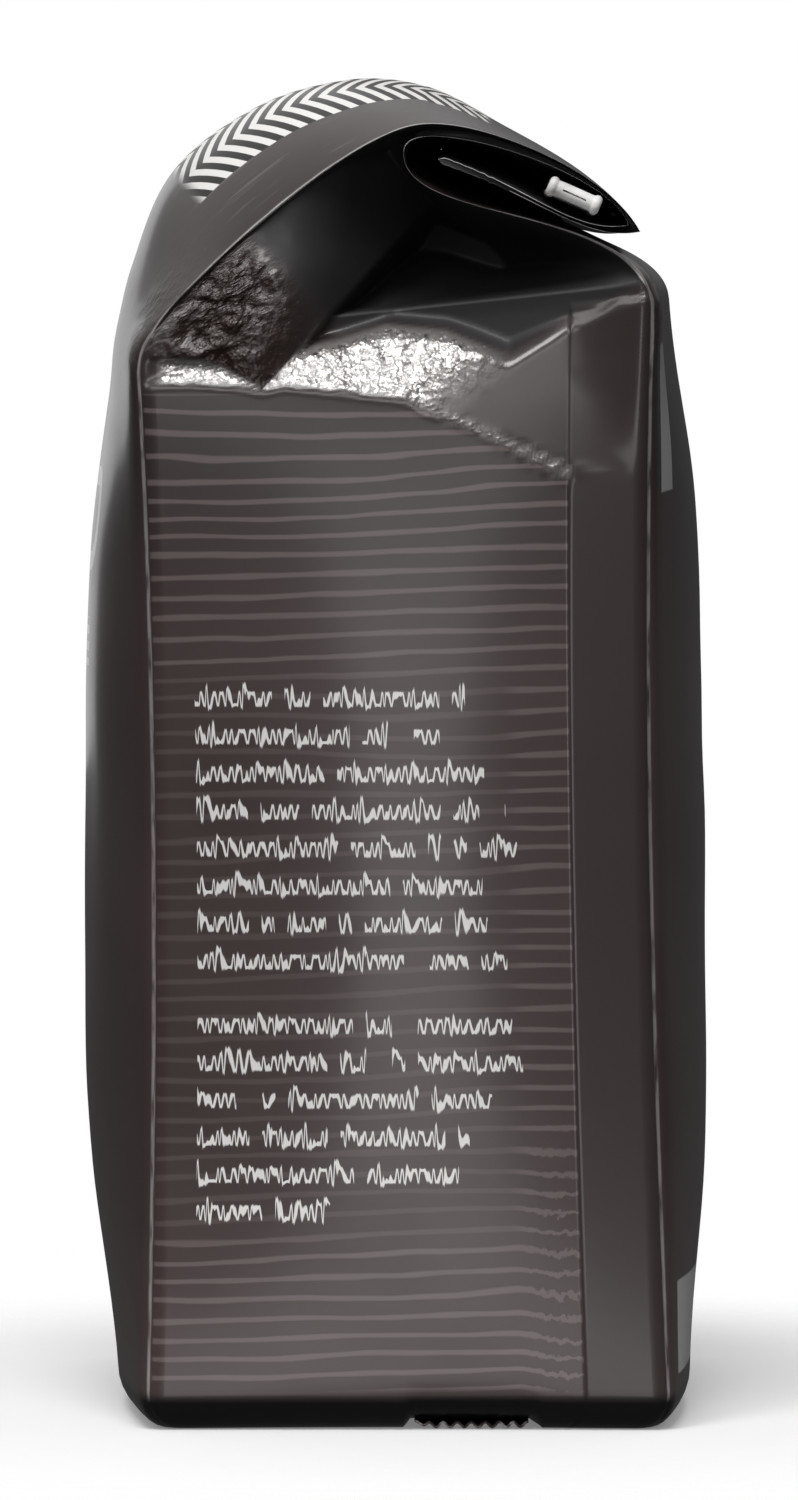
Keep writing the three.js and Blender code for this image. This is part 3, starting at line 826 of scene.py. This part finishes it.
def word_print(tree, values):
    """Two blocks of word marks on the near gusset: a white scribble of uneven height, broken like words."""
    work_out(tree, values, [
        ("second", "LESS_THAN", "v", 65.8),
        ("lower", "MULTIPLY", "second", WORD_TOPS[1] - WORD_TOPS[0]),
        ("block_top", "ADD", "lower", WORD_TOPS[0] + WORD_PITCH / 2),
        ("down", "SUBTRACT", "block_top", "v"),
        ("rows_down", "DIVIDE", "down", WORD_PITCH),
        ("row_in_block", "FLOOR", "rows_down"),
        ("row", "MULTIPLY_ADD", "second", UPPER_LINES, "row_in_block"),
        ("row_part", "FRACT", "rows_down"),
        ("row_off", "SUBTRACT", 0.5, "row_part"),
        ("up", "MULTIPLY", "row_off", WORD_PITCH),
        ("end", "MULTIPLY", "row", 0.0),
    ])
    for k, end in enumerate(WORD_ENDS):
        work_out(tree, values, [
            ("is_row", "COMPARE", "row", k, 0.1),
            ("end", "MULTIPLY_ADD", "is_row", end, "end"),
        ])
    work_out(tree, values, [
        ("in_first", "LESS_THAN", "row_in_block", UPPER_LINES - 0.5),
        ("below_top", "GREATER_THAN", "row_in_block", -0.5),
        ("from_start", "SUBTRACT", "g", WORD_START),
        ("letters", "DIVIDE", "from_start", LETTER_PITCH),
        ("letter", "FLOOR", "letters"),
        ("row_seed", "MULTIPLY_ADD", "row", 13.7, 0.5),
        ("scribble_x", "MULTIPLY", "g", 0.55),
    ])
    letter_at = add_node(tree, "CombineXYZ", {0: values["letter"], 1: values["row_seed"]})
    scribble_at = add_node(tree, "CombineXYZ", {0: values["scribble_x"], 1: values["row_seed"]})
    values["chance"] = add_node(tree, "TexWhiteNoise", {"Vector": letter_at}, noise_dimensions="3D")
    values["uneven"] = add_node(tree, "TexNoise", {"Vector": scribble_at, "Scale": 1.0, "Detail": 1.0})
    work_out(tree, values, [
        ("turns", "MULTIPLY_ADD", "uneven", 5.0, "g"),
        ("angle", "MULTIPLY", "turns", 2 * math.pi / SCRIBBLE_PITCH),
        ("swing", "SINE", "angle"),
        ("lean", "COSINE", "angle"),
        ("tall_part", "RAMP", "uneven", 0.50, 0.68),
        ("height", "MULTIPLY_ADD", "tall_part", 0.75, 0.85),
        ("level", "MULTIPLY_ADD", "tall_part", 0.35, -0.1),
        ("curve", "MULTIPLY_ADD", "swing", "height", "level"),
        ("miss", "SUBTRACT", "up", "curve"),
        ("miss_size", "ABSOLUTE", "miss"),
        ("slope_a", "MULTIPLY", "lean", "height"),
        ("slope_b", "MULTIPLY", "slope_a", 2 * math.pi / SCRIBBLE_PITCH),
        ("slope_c", "MULTIPLY_ADD", "slope_b", "slope_b", 1.0),
        ("slope_d", "SQRT", "slope_c"),
        ("from_stroke", "DIVIDE", "miss_size", "slope_d"),
        ("stroke", "RAMP", "from_stroke", STROKE / 2 + 0.06, STROKE / 2 - 0.06),
        ("first_letter", "LESS_THAN", "letters", 2.0),
        ("kept_letter", "GREATER_THAN", "chance", 0.17),
        ("space", "MAXIMUM", "first_letter", "kept_letter"),
        ("to_end", "LESS_THAN", "g", "end"),
        ("started", "GREATER_THAN", "from_start", 0.0),
        ("near_side", "LESS_THAN", "u", GUSSET_WIDTH),
        ("words", "ALL", "stroke", "space", "started", "to_end", "in_first", "below_top", "near_side"),
        ("text_right", "RAMP", "g", 58.0, 54.0),
        ("text_top", "RAMP", "v", 115.0, 112.0),
        ("text_bottom", "RAMP", "v", 27.0, 31.0),
        ("halo", "ALL", "text_right", "text_top", "text_bottom", "near_side"),
        ("quiet", "MULTIPLY_ADD", "halo", -0.55, 1.0),
        ("lines", "MULTIPLY", "lines", "quiet"),
    ])


def chevron_print(tree, values):
    """White zigzag stripes on near-black over the front panel where it arches over the top, 2.3 mm apart."""
    work_out(tree, values, [
        ("from_middle", "SUBTRACT", "u", FRONT_PANEL + PANEL_WIDTH / 2),
        ("off_middle", "ABSOLUTE", "from_middle"),
        ("folds", "MULTIPLY_ADD", "off_middle", 1 / STRIPE_FOLD, 0.54),
        ("zigzag", "PINGPONG", "folds", 0.5),
        ("stripe_v", "MULTIPLY_ADD", "zigzag", STRIPE_RISE, "v"),
        ("stripes", "MULTIPLY_ADD", "stripe_v", 1 / STRIPE_PITCH, 0.5),
        ("from_stripe", "PINGPONG", "stripes", 0.5),
        ("white", "RAMP", "from_stripe", 0.27, 0.22),
        ("on_front", "GREATER_THAN", "u", FRONT_PANEL),
        ("inside", "RAMP", "off_middle", 34.2, 33.9),
        ("from_low", "RAMP", "v", 183.0, 185.0),
        ("to_high", "RAMP", "v", 227.0, 225.5),
        ("chevron_zone", "ALL", "on_front", "inside", "from_low", "to_high"),
        ("chevrons", "MULTIPLY", "chevron_zone", "white"),
    ])


def front_marks(tree, values):
    """A plain ring and three short bars on the front panel."""
    work_out(tree, values, [
        ("ring_up", "SUBTRACT", "v", 134.5),
        ("ring_x", "SUBTRACT", "off_middle", 13.0),
        ("ring_x_out", "MAXIMUM", "ring_x", 0.0),
        ("ring_x2", "MULTIPLY", "ring_x_out", "ring_x_out"),
        ("ring_r2", "MULTIPLY_ADD", "ring_up", "ring_up", "ring_x2"),
        ("ring_r", "SQRT", "ring_r2"),
        ("ring_d", "SUBTRACT", "ring_r", 6.2),
        ("ring_off", "ABSOLUTE", "ring_d"),
        ("ring", "RAMP", "ring_off", 1.5, 1.3),
        ("bar_wide", "RAMP", "off_middle", 15.2, 14.9),
        ("bar_rows", "DIVIDE", "v", 2.4),
        ("bar_part", "FRACT", "bar_rows"),
        ("bar_on", "LESS_THAN", "bar_part", 0.55),
        ("bar_low", "GREATER_THAN", "v", 113.0),
        ("bar_high", "LESS_THAN", "v", 120.1),
        ("bars", "ALL", "bar_wide", "bar_on", "bar_low", "bar_high"),
        ("ring_and_bars", "MAXIMUM", "ring", "bars"),
        ("front_marks", "MULTIPLY", "ring_and_bars", "on_front"),
    ])


def rectangle(tree, values, name, left, right, low, high):
    """A plain rectangle on the back panel, from left to right across it and from low to high up the film."""
    work_out(tree, values, [
        (name + "_left", "RAMP", "b", left - 0.1, left + 0.1),
        (name + "_right", "RAMP", "b", right + 0.1, right - 0.1),
        (name + "_low", "RAMP", "v", low - 0.2, low + 0.2),
        (name + "_high", "RAMP", "v", high + 0.2, high - 0.2),
        (name, "ALL", name + "_left", name + "_right", name + "_low", name + "_high"),
    ])


def back_marks(tree, values):
    """On the back panel: a light strip near its edge, fine rules, and a plain block near the foot."""
    work_out(tree, values, [
        ("b", "SUBTRACT", "u", GUSSET_WIDTH),
        ("past_near", "GREATER_THAN", "b", 0.0),
        ("before_far", "LESS_THAN", "b", PANEL_WIDTH),
        ("rule_rows", "DIVIDE", "v", 4.2),
        ("rule_part", "FRACT", "rule_rows"),
        ("rule_row", "FLOOR", "rule_rows"),
        ("rule_on", "LESS_THAN", "rule_part", 0.28),
    ])
    at = add_node(tree, "CombineXYZ", {0: values["rule_row"], 1: 3.0})
    values["rule_chance"] = add_node(tree, "TexWhiteNoise", {"Vector": at}, noise_dimensions="3D")
    work_out(tree, values, [
        ("rule_end", "MULTIPLY_ADD", "rule_chance", -14.0, 88.0),
        ("rule_right", "LESS_THAN", "b", "rule_end"),
        ("rule_left", "GREATER_THAN", "b", 52.0),
        ("rule_high", "LESS_THAN", "v", 128.0),
        ("rule_low", "GREATER_THAN", "v", 62.0),
        ("rules", "ALL", "rule_on", "rule_right", "rule_left", "rule_high", "rule_low"),
    ])
    rectangle(tree, values, "strip", 4.0, 10.0, 140.0, 162.0)
    rectangle(tree, values, "block", 6.0, 40.0, 8.0, 22.0)
    work_out(tree, values, [
        ("plain_marks", "MAXIMUM", "strip", "block"),
        ("all_marks", "MAXIMUM", "plain_marks", "rules"),
        ("back_marks", "ALL", "all_marks", "past_near", "before_far"),
    ])


def crease_highlight_marks(tree, values, uv):
    """Painted highlights where the film is creased: pale lines along its four folded edges, broken up by
    noise.
    """
    # Painted highlight: pale colour laid along the creases where they would catch the light, unbroken in the
    # dark folds.
    values["crease_breaks"] = noise_at(tree, uv, (0.9, 0.16), 2.0)
    work_out(tree, values, [
        ("from_first", "MODULO", "u", FAR_GUSSET),
        ("past_second", "SUBTRACT", "from_first", GUSSET_WIDTH),
        ("from_second", "ABSOLUTE", "past_second"),
        ("to_third", "SUBTRACT", FAR_GUSSET, "from_first"),
        ("from_two", "MINIMUM", "from_first", "from_second"),
        ("from_edge", "MINIMUM", "to_third", "from_two"),
        ("crease_inner", "MULTIPLY_ADD", "dark", 0.35, 0.15),
        ("crease_outer", "ADD", "crease_inner", 0.4),
        ("by_crease", "RAMP", "from_edge", "crease_outer", "crease_inner"),
        ("crease_some", "RAMP", "crease_breaks", 0.25, 0.6),
        ("crease_part", "MAXIMUM", "crease_some", "dark"),
        ("crease_highlight", "MULTIPLY", "by_crease", "crease_part"),
    ])


def crackle(tree, uv):
    """Sharp little facets about 1.3 mm across, as in stiff film that has been crushed."""
    coarse = add_node(tree, "TexVoronoi", {"Vector": uv, "Scale": 0.75, "Randomness": 1.0})
    fine = add_node(tree, "TexVoronoi", {"Vector": uv, "Scale": 1.7, "Randomness": 1.0})
    return add_node(tree, "Math", {0: fine, 1: 0.5, 2: coarse}, operation="MULTIPLY_ADD")


def laminate_material(settings):
    """Printed foil laminate: reverse-printed polyester over metallised film, rolled and heat-sealed.

    The ink is dark and even, the clear outer film gives a satin gloss over it, and the metal under it shows
    as a cooler, brighter reflection where the film is creased.
    """
    material, tree, shader = new_material("printed_foil_laminate")
    uv = add_node(tree, "UVMap", uv_map="UVMap")
    values = {name: add_node(tree, "SeparateXYZ", {0: uv}, out=k) for k, name in enumerate("uv")}
    work_out(tree, values, [
        ("other", "SUBTRACT", FRONT_PANEL, "u"),
        ("g", "MINIMUM", "u", "other"),
    ])
    line_print(tree, values, uv)
    word_print(tree, values)
    chevron_print(tree, values)
    front_marks(tree, values)
    back_marks(tree, values)
    for name in ("roof", "tossed", "dark"):
        values[name] = add_node(tree, "Attribute", out=2, attribute_name=name)
    crease_highlight_marks(tree, values, uv)
    values["flake"] = noise_at(tree, uv, (0.95, 1.25), 4.0)
    values["scuff"] = noise_at(tree, uv, (0.55, 0.045), 4.0)
    values["tone"] = noise_at(tree, uv, (0.03, 0.03), 3.0)
    values["smear"] = noise_at(tree, uv, (0.05, 0.12), 3.0)
    values["crackle"] = crackle(tree, uv)
    work_out(tree, values, [
        ("crinkle", "MAXIMUM", "roof", "tossed"),
        ("flake_a", "MULTIPLY_ADD", "roof", 0.18, "flake"),
        ("flake_b", "RAMP", "flake_a", 0.65, 0.75),
        ("spark_zone", "MULTIPLY_ADD", "tossed", 0.5, "roof"),
        ("spark_a", "MULTIPLY", "flake_b", "spark_zone"),
        ("spark_b", "MULTIPLY", "roof", 0.45),
        ("spark", "MAXIMUM", "spark_a", "spark_b"),
        # Painted highlight: the creases in the dark folds are given the pale metal colour, as if they caught
        # the light.
        ("rim_highlight", "MULTIPLY", "by_crease", "dark"),
        # Painted shade: the film is darkened from 112 mm up to 150 mm and stays darker above, under the fold
        # and over the top.
        ("upper_shade", "RAMP", "v", 112.0, 150.0),
        ("scratch", "RAMP", "scuff", 0.58, 0.74),
        ("over_top", "RAMP", "v", 150.0, 175.0),
        ("scuffed", "ALL", "scratch", "on_front", "over_top", 0.35),
        ("past_lap", "RAMP", "g", LAP_SEAM - 0.2, LAP_SEAM + 0.1),
        ("on_gusset", "LESS_THAN", "g", GUSSET_WIDTH),
        ("band", "MULTIPLY", "past_lap", "on_gusset"),
        ("band_upper_shade", "MULTIPLY", "band", "upper_shade"),
        # Painted shade: the film is darkened to near black round the foot's curl.
        ("foot_shade", "RAMP", "v", 6.5, 3.5),
        ("tone_mask", "RAMP", "tone", 0.35, 0.65),
        ("ink_a", "MAXIMUM", "words", "chevrons"),
        ("ink_b", "MAXIMUM", "front_marks", "back_marks"),
        ("opaque", "MAXIMUM", "ink_a", "ink_b"),
        ("metal_a", "MULTIPLY_ADD", "opaque", -0.15, 0.15),
        ("metal", "MAXIMUM", "spark", "metal_a"),
        ("rough_a", "MULTIPLY_ADD", "smear", 0.12, 0.26),
        ("rough_b", "MULTIPLY_ADD", "dark", 0.25, "rough_a"),
        ("rough", "MULTIPLY_ADD", "crease_highlight", 0.2, "rough_b"),
        ("matte_a", "MAXIMUM", "dark", "chevron_zone"),
        ("matte", "MAXIMUM", "matte_a", "tossed"),
        ("coat", "MULTIPLY_ADD", "matte", -0.65, 0.75),
        ("crackle_zone", "MULTIPLY", "crinkle", 0.6),
        ("crackle_height", "MULTIPLY", "crackle", "crackle_zone"),
        ("dents", "MULTIPLY_ADD", "smear", 0.10, "crackle_height"),
    ])
    colour = tuple(settings.ink)
    for name, layer in (
        ("tone_mask", settings.ink_deep),
        # Painted shade towards the top, on the panels and on the lap band.
        ("upper_shade", settings.upper_shade_colour),
        ("band", settings.ink_band),
        ("band_upper_shade", settings.upper_shade_colour),
        ("crinkle", settings.ink_fold),
        # Painted shade: film deep in the folds and inside the roll is darkened to this colour.
        ("dark", settings.fold_shade_colour),
        ("spark", settings.metal_and_rim_highlight),
        ("scuffed", settings.wear_and_highlight_colour),
        ("lines", settings.line_colour),
        ("chevron_zone", settings.chevron_ground),
        ("back_marks", settings.mark_grey),
        ("chevrons", settings.mark_white),
        ("front_marks", settings.mark_white),
        ("words", settings.mark_white),
        # Painted highlight along the folded edges.
        ("crease_highlight", settings.wear_and_highlight_colour),
        # Painted highlight on the creases in the dark folds.
        ("rim_highlight", settings.metal_and_rim_highlight),
        # Painted shade round the foot.
        ("foot_shade", settings.foot_shade_colour),
    ):
        inputs = {"Factor": values[name], 6: colour, 7: tuple(layer)}
        colour = add_node(tree, "Mix", inputs, out=2, data_type="RGBA")
    bump = add_node(tree, "Bump", {"Strength": 0.9, "Distance": 0.0005, "Height": values["dents"]})
    set_inputs(tree, shader, {
        "Base Color": colour, "Metallic": values["metal"], "Roughness": values["rough"], "IOR": 1.5,
        "Coat Weight": values["coat"], "Coat Roughness": 0.14, "Coat IOR": 1.5, "Normal": bump,
    })
    return material


def mottled(tree, scale, limits, colour, patch_colour):
    """A colour with soft patches of another, at a scale in patches for each metre."""
    place = add_node(tree, "TexCoord", out=3)
    patches = add_node(tree, "TexNoise", {"Vector": place, "Scale": scale, "Detail": 2.0})
    inputs = {0: patches, 1: limits[0], 2: limits[1]}
    mask = add_node(tree, "MapRange", inputs, interpolation_type="SMOOTHSTEP")
    inputs = {"Factor": mask, 6: tuple(colour), 7: tuple(patch_colour)}
    return add_node(tree, "Mix", inputs, out=2, data_type="RGBA")


def seam_material(settings):
    """The same laminate, crimped and unprinted at the seam: darker, with soft patches rubbed pale."""
    material, tree, shader = new_material("crimped_foil_laminate")
    colour = mottled(tree, 900.0, (0.45, 0.75), settings.ink_fold, settings.wear_and_highlight_colour)
    set_inputs(tree, shader, {"Base Color": colour, "Metallic": 0.4, "Roughness": 0.35})
    return material


def tie_material(settings):
    """Tin tie: a white plastic-coated paper strip laminated over two wires, matte with a faint fibre."""
    material, tree, shader = new_material("coated_paper_strip")
    colour = mottled(tree, 220.0, (0.4, 0.8), settings.tie_colour, settings.tie_shade)
    place = add_node(tree, "TexCoord", out=3)
    fibre = add_node(tree, "TexNoise", {"Vector": place, "Scale": 1400.0, "Detail": 3.0})
    bump = add_node(tree, "Bump", {"Strength": 0.4, "Distance": 0.0001, "Height": fibre})
    set_inputs(tree, shader, {"Base Color": colour, "Roughness": 0.5, "Normal": bump})
    return material


# The stage


def make_floor():
    """A white table top that fades out a little way round the bag into the white backdrop."""
    deselect_all()
    bpy.ops.mesh.primitive_circle_add(vertices=96, radius=0.2, fill_type="NGON", location=(0, 0, 0))
    floor = bpy.context.object
    floor.name = "floor"
    material, tree, shader = new_material("white_table")
    place = add_node(tree, "TexCoord", out=3)
    distance = add_node(tree, "VectorMath", {0: place}, out=1, operation="LENGTH")
    cover = add_node(tree, "MapRange", {0: distance, 1: 0.15, 2: 0.07}, interpolation_type="SMOOTHSTEP")
    set_inputs(tree, shader, {
        "Base Color": (0.9, 0.9, 0.9, 1), "Roughness": 0.9, "Specular IOR Level": 0.0,
        "Emission Color": (1, 1, 1, 1), "Emission Strength": 0.18, "Alpha": cover,
    })
    floor.data.materials.append(material)
    floor.visible_glossy = False


def make_world():
    """A white backdrop for the camera, and for the film a dark room with a pale ceiling towards the back."""
    world = bpy.data.worlds.new("studio")
    bpy.context.scene.world = world
    world.use_nodes = True
    tree = world.node_tree
    tree.nodes.clear()
    seen = add_node(tree, "LightPath")
    direction = add_node(tree, "TexCoord")
    split = [add_node(tree, "SeparateXYZ", {0: direction}, out=k) for k in range(3)]
    behind = add_node(tree, "MapRange", {0: split[1], 1: -0.3, 2: 0.6, 3: 0.2, 4: 1.0})
    above = add_node(tree, "MapRange", {0: split[2], 1: 0.03, 2: 0.75, 3: 0.0, 4: 0.6})
    level = add_node(tree, "Math", {0: behind, 1: above, 2: 0.05}, operation="MULTIPLY_ADD")
    room = add_node(tree, "Background", {"Color": (1, 1, 1, 1), "Strength": level})
    white = add_node(tree, "Background", {"Color": (1, 1, 1, 1), "Strength": 1.0})
    mix = add_node(tree, "MixShader", {0: seen, 1: room, 2: white})
    add_node(tree, "OutputWorld", {"Surface": mix})


def add_camera():
    """A long lens before the near gusset, a little above the bag's shoulder and looking slightly down."""
    data = bpy.data.cameras.new("camera")
    camera = bpy.data.objects.new("camera", data)
    bpy.context.scene.collection.objects.link(camera)
    bpy.context.scene.camera = camera
    data.sensor_width = SENSOR
    aim = Vector((0, -0.048, 0.102))
    place = Vector((0, -1.448, 0.178))
    camera.location = place
    camera.rotation_euler = (aim - place).to_track_quat("-Z", "Y").to_euler()
    data.lens = SENSOR * (aim - place).length * 1000 / (PHOTO_HEIGHT / PIXELS_PER_MM)
    data.clip_end = 100


def add_light(name, place, target, width, height, radiance):
    """A softbox, whose power follows from its radiance and size."""
    data = bpy.data.lights.new(name, "AREA")
    data.shape = "RECTANGLE"
    data.size = width
    data.size_y = height
    data.energy = radiance * math.pi * width * height
    light = bpy.data.objects.new(name, data)
    bpy.context.scene.collection.objects.link(light)
    light.location = place
    light.rotation_euler = (Vector(target) - Vector(place)).to_track_quat("-Z", "Y").to_euler()


# The add-on


def colour_property(name, description, code):
    return bpy.props.FloatVectorProperty(
        name=name, description=description, default=rgb(code), size=4, min=0, max=1, subtype="COLOR"
    )


class CoffeeBagSettings(bpy.types.PropertyGroup):
    crumple: bpy.props.FloatProperty(
        name="Crumple", description="How deeply the folded film is crumpled",
        default=1, min=0, max=2, subtype="FACTOR",
    )
    ink: colour_property("Ink", "Main ink of the film", "#4d403f")
    ink_deep: colour_property("Ink, deeper", "Main ink where it is laid thicker", "#473a39")
    # Painted shade just under the fold and over the top, not a different ink.
    upper_shade_colour: colour_property("Shade, upper", "Shade painted just under the fold and over the top", "#3a302f")
    ink_band: colour_property("Band", "Plain band over the lap seam", "#403635")
    ink_fold: colour_property("Fold", "Film in the fold, above the print", "#2a1b17")
    # Painted shade deep in the folds and inside the roll, not a colour of the film.
    fold_shade_colour: colour_property("Fold shade", "Film deep in the folds and inside the roll", "#302e30")
    # Painted shade round the foot, not a colour of the film.
    foot_shade_colour: colour_property("Foot", "Film round the foot", "#0d0b0b")
    # Metal colour for the sparks, and also the painted highlight on the creases in the dark folds.
    metal_and_rim_highlight: colour_property("Bare metal", "Metal film where the ink is cracked away", "#d8d5d2")
    line_colour: colour_property("Lines", "Fine wavy lines", "#6d6160")
    chevron_ground: colour_property("Chevron ground", "Ground between the chevrons", "#1b1918")
    mark_white: colour_property("White ink", "White marks", "#f8f6f3")
    mark_grey: colour_property("Grey ink", "Marks on the back panel", "#c4c3c3")
    # Colour of the real scuffs and pale patches, and of the painted highlights along the creases.
    wear_and_highlight_colour: colour_property("Wear", "Wear, and painted highlight along creases", "#9a9795")
    tie_colour: colour_property("Tie", "Coated strip of the tin tie", "#f8f7f6")
    tie_shade: colour_property("Tie, soiled", "Coated strip where it is handled", "#cdc9c7")


class COFFEEBAG_OT_film(bpy.types.Operator):
    """Model the bag's film and its bottom seam"""

    bl_idname = "coffee_bag.film"
    bl_label = "Bag film"

    def execute(self, context):
        settings = context.scene.coffee_bag
        film = make_film(settings.crumple)
        film.data.materials.append(laminate_material(settings))
        seam = make_bottom_seam()
        seam.data.materials.append(seam_material(settings))
        for piece in (film, seam):
            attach(piece, "root")
            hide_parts("bag")
        return {"FINISHED"}


class COFFEEBAG_OT_tie(bpy.types.Operator):
    """Model the tin tie in the folded top"""

    bl_idname = "coffee_bag.tie"
    bl_label = "Tin tie"

    def execute(self, context):
        tie = make_tie()
        tie.data.materials.append(tie_material(context.scene.coffee_bag))
        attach(tie, "root")
        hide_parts("tin_tie")
        return {"FINISHED"}


class COFFEEBAG_OT_stage(bpy.types.Operator):
    """Set up the floor, the room, the lights and the camera"""

    bl_idname = "coffee_bag.stage"
    bl_label = "Stage"

    def execute(self, context):
        make_floor()
        make_world()
        for light in LIGHTS:
            add_light(*light)
        add_camera()
        context.scene.view_settings.view_transform = "Standard"
        return {"FINISHED"}


class COFFEEBAG_PT_panel(bpy.types.Panel):
    bl_label = "Coffee bag"
    bl_idname = "COFFEEBAG_PT_panel"
    bl_space_type = "VIEW_3D"
    bl_region_type = "UI"
    bl_category = "Coffee bag"

    def draw(self, context):
        settings = context.scene.coffee_bag
        for name in settings.__annotations__:
            self.layout.prop(settings, name)
        for operator in OPERATORS:
            self.layout.operator(operator.bl_idname)


OPERATORS = (COFFEEBAG_OT_film, COFFEEBAG_OT_tie, COFFEEBAG_OT_stage)
CLASSES = (CoffeeBagSettings, *OPERATORS, COFFEEBAG_PT_panel)


def register():
    for made in CLASSES:
        bpy.utils.register_class(made)
    bpy.types.Scene.coffee_bag = bpy.props.PointerProperty(type=CoffeeBagSettings)


def unregister():
    del bpy.types.Scene.coffee_bag
    for made in reversed(CLASSES):
        bpy.utils.unregister_class(made)


def main():
    register()
    bpy.ops.coffee_bag.film()
    bpy.ops.coffee_bag.tie()
    bpy.ops.coffee_bag.stage()


if __name__ == "__main__":
    main()
